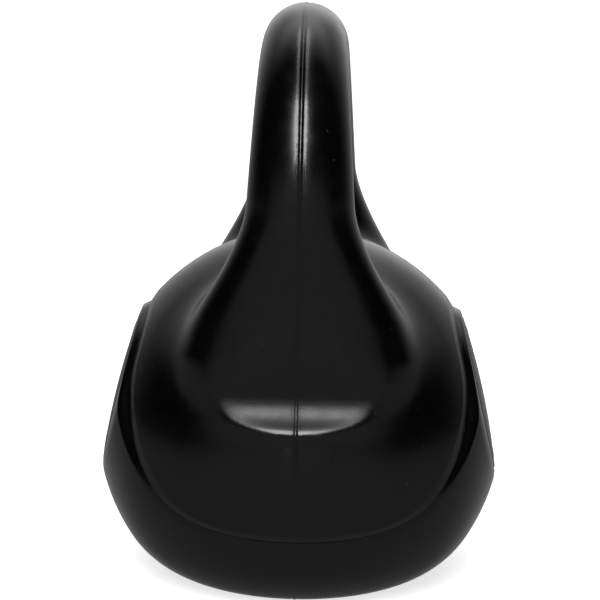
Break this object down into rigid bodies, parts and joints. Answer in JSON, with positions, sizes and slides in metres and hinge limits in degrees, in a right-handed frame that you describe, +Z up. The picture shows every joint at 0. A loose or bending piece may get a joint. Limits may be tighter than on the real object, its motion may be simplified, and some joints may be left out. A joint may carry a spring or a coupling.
{
  "type": "kettlebell",
  "caption": "Kettlebell with a round body, flat base, broad front and back faces that are almost flat, and a looped handle that flares into the sides; a plastic shell filled with cement.",
  "frame": {"origin": "centre of the flat base, on the surface that the kettlebell stands on", "axes": "+Z up through the handle; X along the grip bar; Y from the front face (-Y) to the back face (+Y)"},
  "size_m": [0.176, 0.1694, 0.2445],
  "materials": {
    "shell_plastic": "satin",
    "cement": "matte",
    "rod_steel": "satin",
    "plug_plastic": "matte",
    "label_film": "satin"
  },
  "bodies": {
    "root": {"shell": "shell_plastic", "ballast": "cement", "reinforcing_rod": "rod_steel", "filler_plug": "plug_plastic", "front_label": "label_film", "back_label": "label_film"}
  },
  "joints": []
}
